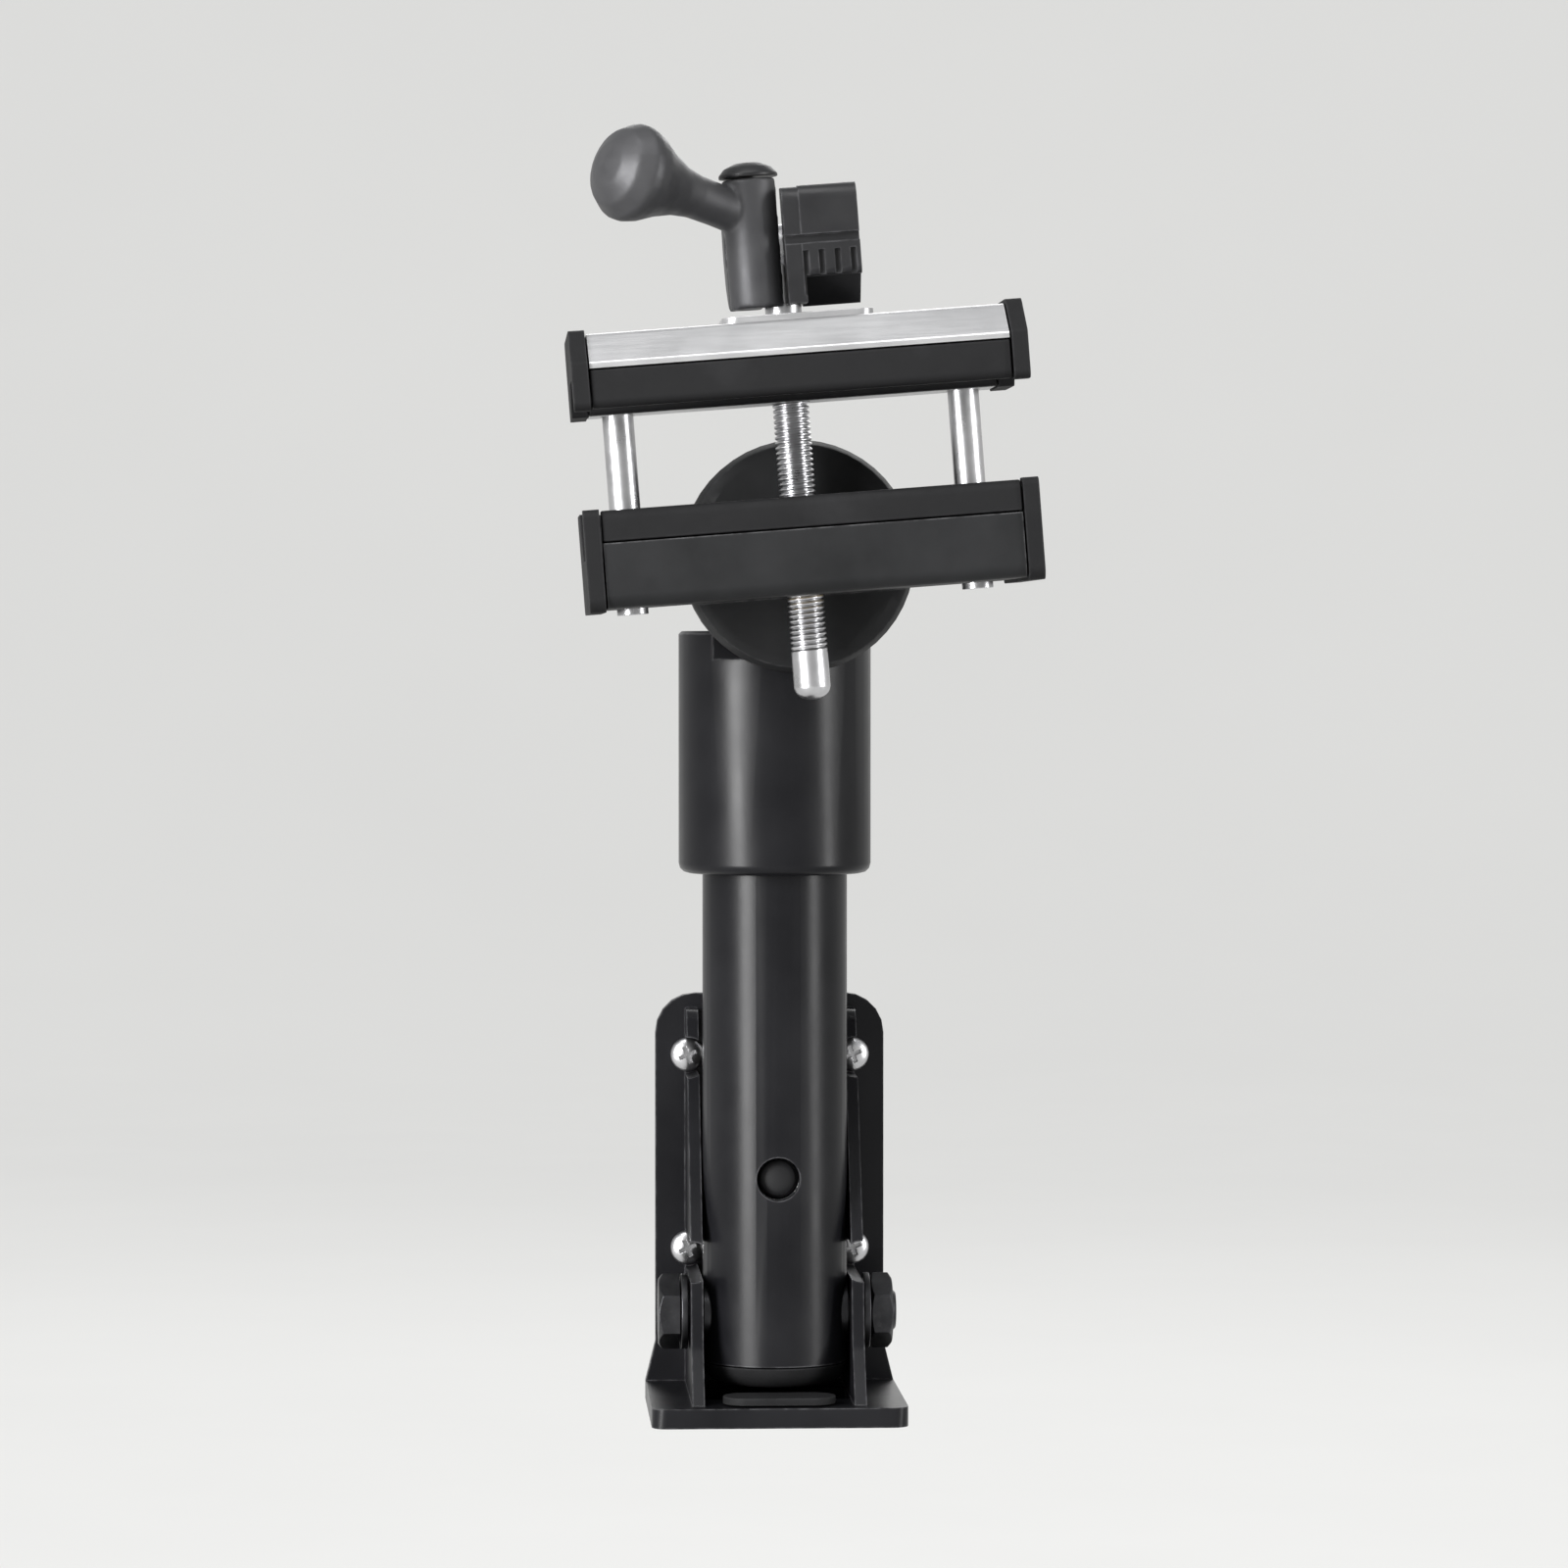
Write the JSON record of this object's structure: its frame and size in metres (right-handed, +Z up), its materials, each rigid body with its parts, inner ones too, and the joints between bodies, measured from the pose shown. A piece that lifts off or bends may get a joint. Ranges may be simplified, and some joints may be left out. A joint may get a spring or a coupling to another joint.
{
  "type": "bicycle wall rack",
  "caption": "Folding wall rack for a bicycle: a bracket, a fold-down tube arm and a swivelling clamp head whose padded jaws close on the top tube with a quick lever.",
  "frame": {"origin": "on the wall face, at the middle of the bracket's back plate", "axes": "+Y out of the back plate into the wall, +Z up along the folded arm, +X to the right as the user faces the wall"},
  "size_m": [0.0875, 0.1047, 0.2492],
  "materials": {
    "powder_coat": "satin black powder coat with a fine texture",
    "jaw_casting": "matte charcoal coated casting",
    "satin_grey": "satin light grey",
    "lever_grey": "satin dark grey",
    "rubber": "matte moulded rubber",
    "black_plastic": "moulded",
    "steel": "zinc plated",
    "black_steel": "black zinc plated",
    "brass": "machined"
  },
  "bodies": {
    "bracket": {"wall_bracket": "powder_coat", "wall_screw_upper_left": "steel", "wall_screw_upper_right": "steel", "wall_screw_lower_left": "steel", "wall_screw_lower_right": "steel", "pivot_bolt": "black_steel", "pivot_nut": "black_steel", "pivot_washer_left": "black_steel", "pivot_washer_right": "black_steel", "rest_pad": "rubber"},
    "arm": {"arm_tube": "powder_coat", "tube_end_plug": "rubber", "pivot_sleeve": "black_steel", "head_stem": "steel", "stem_cap": "steel", "swivel_screw": "steel", "button_spring": "steel"},
    "button": {"snap_button": "black_plastic"},
    "head": {"head_sleeve": "powder_coat", "sleeve_liner": "black_plastic", "tilt_washer": "steel", "tilt_friction_disc": "black_plastic"},
    "jaw_carrier": {"lower_jaw": "jaw_casting", "lower_pad": "rubber", "lower_end_cap_left": "rubber", "lower_end_cap_right": "rubber", "clamp_nut": "brass", "tilt_bolt": "steel"},
    "upper_jaw_slider": {"upper_jaw": "satin_grey", "upper_pad": "rubber", "upper_end_cap_left": "rubber", "upper_end_cap_right": "rubber", "guide_pin_left": "steel", "guide_pin_right": "steel", "cam_saddle": "satin_grey"},
    "screw": {"clamp_screw": "steel", "cam_pin": "steel"},
    "lever": {"lever": "lever_grey", "lever_cap": "black_plastic", "cam_block": "black_plastic"}
  },
  "joints": [
    {"name": "arm_fold", "type": "hinge", "parent": "bracket", "child": "arm", "pos_m": [0, -0.023, -0.0208], "axis": [1, 0, 0], "range_deg": [0, 90]},
    {"name": "button_press", "type": "slide", "parent": "arm", "child": "button", "axis": [0, 1, 0], "range_m": [0, 0.003], "stiffness_N_per_m": 600, "springref_m": -0.002, "deforming": ["button_spring"]},
    {"name": "head_swivel", "type": "hinge", "parent": "arm", "child": "head", "pos_m": [0, -0.023, 0.09], "axis": [0, 0, 1], "continuous": true},
    {"name": "jaw_tilt", "type": "hinge", "parent": "head", "child": "jaw_carrier", "pos_m": [0.0032, -0.0424, 0.128], "axis": [0, -1, 0], "continuous": true},
    {"name": "jaw_travel", "type": "slide", "parent": "jaw_carrier", "child": "upper_jaw_slider", "axis": [-0.0767, 0, 0.9971], "range_m": [-0.008, 0.014]},
    {"name": "screw_turn", "type": "hinge", "parent": "upper_jaw_slider", "child": "screw", "pos_m": [0.00167, -0.062, 0.14794], "axis": [-0.0767, 0, 0.9971], "range_deg": [-2881, 5041]},
    {"name": "lever_open", "type": "hinge", "parent": "screw", "child": "lever", "pos_m": [-0.00127, -0.062, 0.18613], "axis": [-0.9971, 0, -0.0767], "range_deg": [0, 85]}
  ],
  "couplings": [
    {"joint": "screw_turn", "follows": "jaw_travel", "rad_per_m": 6283.2}
  ]
}
